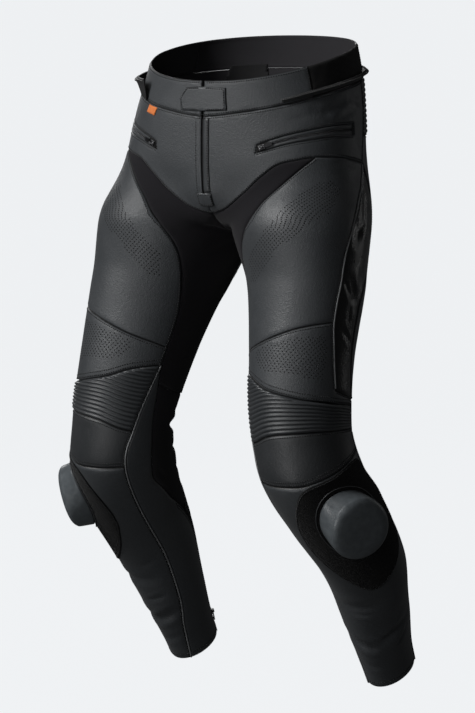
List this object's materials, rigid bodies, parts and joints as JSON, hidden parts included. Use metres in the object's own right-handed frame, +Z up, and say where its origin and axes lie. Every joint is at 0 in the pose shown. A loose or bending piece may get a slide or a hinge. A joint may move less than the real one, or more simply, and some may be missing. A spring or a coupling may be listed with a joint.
{
  "type": "leather motorcycle trousers",
  "caption": "Black leather riding trousers, filled out as worn, with ribbed stretch panels at knee and back, stretch inner thighs, zips, a belt tab and knee sliders on hook pads.",
  "frame": {"origin": "middle of the waist ring, where the wearer holds the trousers up", "axes": "+Z up, front towards -Y, the wearer's left towards +X"},
  "size_m": [0.5548, 0.3315, 0.9477],
  "materials": {
    "leather": "matt black cowhide with a fine grain",
    "gloss_leather": "smooth glossy black leather",
    "stretch_cloth": "matt black knitted stretch cloth",
    "elastic": "ribbed black waist elastic",
    "hook_and_loop": "black looped pile",
    "zip_tape": "black woven zip tape and coil",
    "slider_plastic": "dark grey moulded plastic",
    "zip_metal": "dark metal zip slider",
    "orange_tag": "bare orange tag",
    "label_cloth": "bare black woven label"
  },
  "bodies": {
    "trousers": {"back_ribs": "leather", "belt_tab": "leather", "calf_back_left": "leather", "calf_back_right": "leather", "calf_inner_left": "leather", "calf_inner_right": "leather", "calf_slider_left": "zip_metal", "calf_slider_right": "zip_metal", "calf_zip_tape_left": "zip_tape", "calf_zip_tape_right": "zip_tape", "connection_zip_flap": "zip_tape", "fly_patch": "leather", "fly_placket": "leather", "fly_zip_tape": "zip_tape", "hip_front_left": "leather", "hip_front_right": "leather", "hook_base_left": "hook_and_loop", "hook_base_right": "hook_and_loop", "knee_back_left": "stretch_cloth", "knee_back_right": "stretch_cloth", "knee_front_left": "leather", "knee_front_right": "leather", "knee_ribs_left": "leather", "knee_ribs_right": "leather", "knee_slider_left": "slider_plastic", "knee_slider_right": "slider_plastic", "knee_top_left": "leather", "knee_top_right": "leather", "pocket_slider_left": "zip_metal", "pocket_slider_right": "zip_metal", "pocket_zip_tape_left": "zip_tape", "pocket_zip_tape_right": "zip_tape", "seat_left": "leather", "seat_right": "leather", "shin_left": "leather", "shin_right": "leather", "side_thigh_left": "gloss_leather", "side_thigh_right": "gloss_leather", "size_label": "label_cloth", "stretch_inner_thigh_left": "stretch_cloth", "stretch_inner_thigh_right": "stretch_cloth", "thigh_back_left": "leather", "thigh_back_right": "leather", "thigh_front_left": "leather", "thigh_front_right": "leather", "waist_tag": "orange_tag", "waistband_back": "leather", "waistband_elastic_left": "elastic", "waistband_elastic_right": "elastic", "waistband_front_left": "leather", "waistband_front_right": "leather"},
    "pocket_pull_left_tab": {"pocket_pull_left": "zip_metal"},
    "pocket_pull_right_tab": {"pocket_pull_right": "zip_metal"},
    "calf_pull_left_tab": {"calf_pull_left": "zip_metal"},
    "calf_pull_right_tab": {"calf_pull_right": "zip_metal"}
  },
  "joints": [
    {"name": "pocket_pull_left_lift", "type": "hinge", "parent": "trousers", "child": "pocket_pull_left_tab", "pos_m": [0.09481, -0.13228, -0.09346], "axis": [0.366, 0.0122, -0.9305], "range_deg": [0, 165]},
    {"name": "pocket_pull_right_lift", "type": "hinge", "parent": "trousers", "child": "pocket_pull_right_tab", "pos_m": [-0.09481, -0.13228, -0.09346], "axis": [0.366, -0.0122, 0.9305], "range_deg": [0, 165]},
    {"name": "calf_pull_left_lift", "type": "hinge", "parent": "trousers", "child": "calf_pull_left_tab", "pos_m": [0.15287, 0.10801, -0.82313], "axis": [0.7526, 0.5959, 0.28], "range_deg": [0, 165]},
    {"name": "calf_pull_right_lift", "type": "hinge", "parent": "trousers", "child": "calf_pull_right_tab", "pos_m": [-0.15287, 0.10801, -0.82313], "axis": [0.7526, -0.5959, -0.28], "range_deg": [0, 165]}
  ]
}
